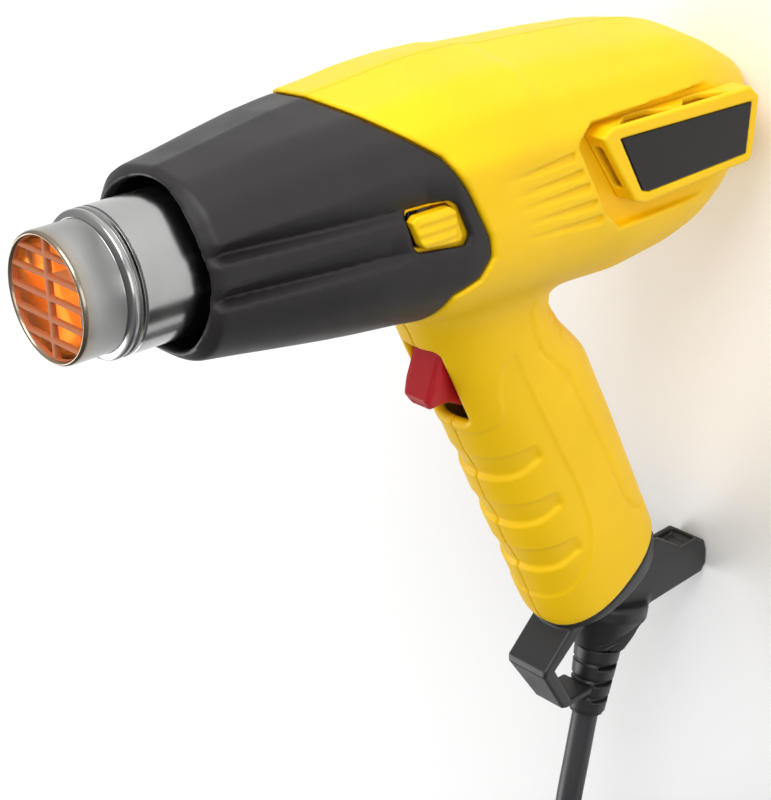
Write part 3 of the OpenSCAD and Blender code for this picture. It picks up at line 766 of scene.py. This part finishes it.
def build_nozzle():
    tint = (0.19, 0.252, [(0.0, (1, 1, 1)), (0.9, (1, 1, 1)), (0.955, (0.9, 0.78, 0.62)),
        (0.975, (0.6, 0.4, 0.26))])
    steel = metal("spun_steel", (0.42, 0.42, 0.415), 0.2, (40, 40, 160), tint, 0.06)
    top = OUTLET_Z
    bore, outer, tube = 16.0, 17.5, 19.7
    lip = [(bore, top - 20), (bore, top - 1.3), (bore + 0.15, top - 0.5), (bore + 0.6, top - 0.05),
        (outer - 0.7, top - 0.05), (outer - 0.2, top - 0.5), (outer, top - 1.4), (outer, top - 12.2)]
    bead = bevelled([(outer + 0.2, top - 12.5), (tube - 0.3, top - 13.1), (tube, top - 13.7),
        (tube - 0.1, top - 14.5), (tube - 0.8, top - 14.9), (tube - 0.8, top - 15.2),
        (tube, top - 15.7)], 0.15)
    wall = bevelled([(tube, top - 17), (tube, top - 99)], 0.3)
    flange = [(26.5, top - 99.2), (26.5, top - 100), (tube - 0.9, top - 100), (tube - 0.9, top - 20)]
    lathe("outlet_tube", lip + bead + wall + flange, (0, 0, 0), (0, 0, 1), "root", steel,
        ["nozzle_tube"])


def outlet_grille(x, y, z):
    """Bars flush with the lip: one along the middle and five across it."""
    bars = np.abs(y - 0.4) - 0.8
    for i in range(5):
        bars = smin(bars, np.abs(x + 11.6 - 5.7 * i) - 0.65, 0.6)
    radius = np.hypot(x, y)
    d = smax(np.minimum(bars, 15.9 - radius), radius - 16.5, 0.3)
    return smax(d, np.abs(z - OUTLET_Z + 1.6) - 0.9, 0.5)


def build_grille():
    scorched = moulded("scorched_wire", (0.42, 0.13, 0.045), 0.6, grain=700, gloss=0.3)
    sculpt("outlet_bars", outlet_grille, (-17.5, -17.5, OUTLET_Z - 3.4), (17.5, 17.5, OUTLET_Z + 0.2), 0.35,
        "root", scorched, ["nozzle_grille"])


def glowing():
    """Heating wire: orange with hotter and cooler stretches, which gives off light."""
    glow = Nodes("glowing_wire")
    glow.set(Base_Color=(1.0, 0.25, 0.03, 1), Roughness=0.6)
    heat = glow.ramp(glow.noise(90, 2), [(0.3, (1.0, 0.1, 0.005)), (0.7, (1.0, 0.42, 0.06))])
    glow.link(heat, glow.shader.inputs["Emission Color"])
    glow.set(Emission_Strength=4.0)
    return glow.material


def paint_inside():
    """Materials for the nodes that keep their CAD shape."""
    mica = moulded("mica_board", (0.62, 0.55, 0.42), 0.55, grain=300, mottle=0.2)
    steel = metal("zinc_steel", (0.66, 0.66, 0.64), 0.35)
    plastic = moulded("grey_moulding", (0.2, 0.21, 0.23), 0.5)
    looks = {
        "heating_coil": glowing(), "mica_former": mica, "mica_sleeve": mica, "insulating_ring": mica,
        "thermal_cutoff": moulded("ceramic", (0.85, 0.83, 0.78), 0.3),
        "fan_duct": plastic, "rear_grille": moulded("black_grille", (0.03, 0.03, 0.032), 0.4),
        "motor_can": steel, "motor_bushes": metal("bronze", (0.55, 0.38, 0.17), 0.45),
        "motor_magnets": moulded("ferrite", (0.07, 0.07, 0.075), 0.7), "motor_shaft": steel,
        "armature": metal("copper_winding", (0.72, 0.32, 0.16), 0.4),
        "fan_impeller": moulded("nylon", (0.75, 0.73, 0.66), 0.45),
        "rectifier_board": moulded("board_green", (0.03, 0.16, 0.07), 0.4),
        "switch_body": moulded("switch_black", (0.03, 0.03, 0.033), 0.45), "trigger_pin": steel,
        "internal_leads": moulded("lead_brown", (0.16, 0.04, 0.02), 0.5),
        "cord_clamp": moulded("clamp_black", (0.03, 0.03, 0.033), 0.5), "clamp_screws": steel,
        "housing_screws": steel, "cord_tie": moulded("tie_black", (0.02, 0.02, 0.02), 0.5),
        "plug_blades": metal("blade_brass", (0.78, 0.64, 0.36), 0.3)}
    for node, material in looks.items():
        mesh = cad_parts[node].data
        mesh.materials.clear()
        mesh.materials.append(material)


# ---- cord, laid out as part.scad lays it ----
CORD_DIAMETER = 0.009
CORD_ROUTE = [(208, 0, 53.6), (217, 0, 55.8), (227, 0, 58.2), (236, 0, 60.5), (245.5, -0.5, 62),
    (255, -2, 62), (264.5, -4.5, 60.5), (273, -8, 57), (280.5, -12, 52.5), (287.5, -16, 47),
    (294.5, -20.5, 41.5), (301.5, -24.5, 36), (309, -28, 31), (317, -31, 27), (326.5, -33, 24.5),
    (336, -33.6, 23.5)]
TAIL_ROUTE = [(295.5, 16, 32.6), (296.9, 5.5, 33.1), (301, -4.2, 34.6), (307.4, -12.6, 37.2),
    (315.8, -19, 39.5), (324.9, -22.9, 40.7), (333.2, -24.4, 41)]
PLUG_AT = TAIL_ROUTE[-1]
BLADE_OFFSET = 6.35
PLUG_TURN = math.radians(-94)
COIL_CENTRE = (336, 16)
# Radii of the coil's outer and inner turns, the height from turn to turn, and the lowest turn's height
OUTER, INNER = 49.55, 40.45
PITCH = 9.1
FLOOR_TURN = 5.3
TURN_STEPS = 48
TURNS = 5.75


def coil_points():
    """The coil's turns: down its outer side, inwards on the surface, and up its inner side."""
    points = []
    for i in range(1, int(TURNS * TURN_STEPS)):
        t = i / TURN_STEPS
        radius = OUTER - (OUTER - INNER) * step(2.0, 2.65, t)
        fallen = step(0.35, 1.0, t) + step(1.35, 2.0, t)
        layer = 2.0 - fallen + sum(step(k - 0.15, k + 0.45, t) for k in (3, 4, 5))
        angle = 2 * math.pi * (t - 0.25)
        points.append((COIL_CENTRE[0] + radius * math.cos(angle),
            COIL_CENTRE[1] + radius * math.sin(angle), FLOOR_TURN + PITCH * float(layer)))
    return points


def eased(route, n):
    """Points on a smooth curve through the route's own, n to each stretch."""
    p = [np.array(q, float) for q in route]
    out = []
    for i in range(len(p) - 1):
        a, b, c, d = p[max(i - 1, 0)], p[i], p[i + 1], p[min(i + 2, len(p) - 1)]
        for u in np.arange(n) / n:
            out.append(0.5 * (2 * b + (c - a) * u + (2 * a - 5 * b + 4 * c - d) * u * u
                + (3 * b - a - 3 * c + d) * u**3))
    return out + [p[-1]]


def plug(x, y, z):
    """The plug's moulding, ribbed behind and waisted at its grips, with its neck where the cord ends."""
    dx, dy, pz = x - PLUG_AT[0], y - PLUG_AT[1], z - PLUG_AT[2]
    c, s = math.cos(PLUG_TURN), math.sin(PLUG_TURN)
    px, py = dx * c + dy * s, -dx * s + dy * c
    neck = smax(np.hypot(px, pz) - (5.6 + 0.1 * py), np.abs(py - 7) - 7, 0.6)
    ribs = 0.4 * step(0.4, 0.0, np.abs(((py - 1) % 3.4) - 1.7) - 0.9)
    neck = neck + ribs * step(11, 10, py)
    head = rounded_box(px, py - 22, pz, (11.9, 9.9, 8.9), 3.0)
    grip = 0.7 * (0.5 + 0.5 * np.cos((py - 22) * 2 * math.pi / 3.2)) * step(6, 5, np.abs(py - 22))
    head = head + grip * step(7.5, 9.0, np.abs(px))
    d = smin(neck, head, 2.0)
    for blade in (-BLADE_OFFSET, BLADE_OFFSET):
        d = smax(d, -rounded_box(px - blade, py - 30, pz, (0.75, 6, 3.2), 0.2), 0.3)
    return d


def build_cord():
    rubber = moulded("cord_sheath", (0.028, 0.028, 0.031), 0.42, grain=700, mottle=0.1)
    points = eased(CORD_ROUTE, 4) + coil_points() + eased(TAIL_ROUTE, 4)
    line = place(np.array([tuple(map(float, q)) for q in points]))
    data = bpy.data.curves.new("mains_cord", "CURVE")
    data.dimensions = "3D"
    data.bevel_depth = CORD_DIAMETER / 2
    data.bevel_resolution = 7
    data.use_fill_caps = True
    spline = data.splines.new("POLY")
    spline.points.add(len(line) - 1)
    for point, at in zip(spline.points, line):
        point.co = (*at, 1)
    spline.use_smooth = True
    cord = bpy.data.objects.new("mains_cord", data)
    bpy.context.scene.collection.objects.link(cord)
    data.materials.append(rubber)
    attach(cord, "root")
    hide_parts("cord", "cord_coil", "cord_tail")
    body = sculpt("plug_moulding", plug, (330, -45, 31), (370, -10, 51), 0.5, "root", rubber,
        ["plug_body"])


make_camera()
make_studio()
build_cord()
build_shells()
build_nozzle()
build_grille()
paint_inside()
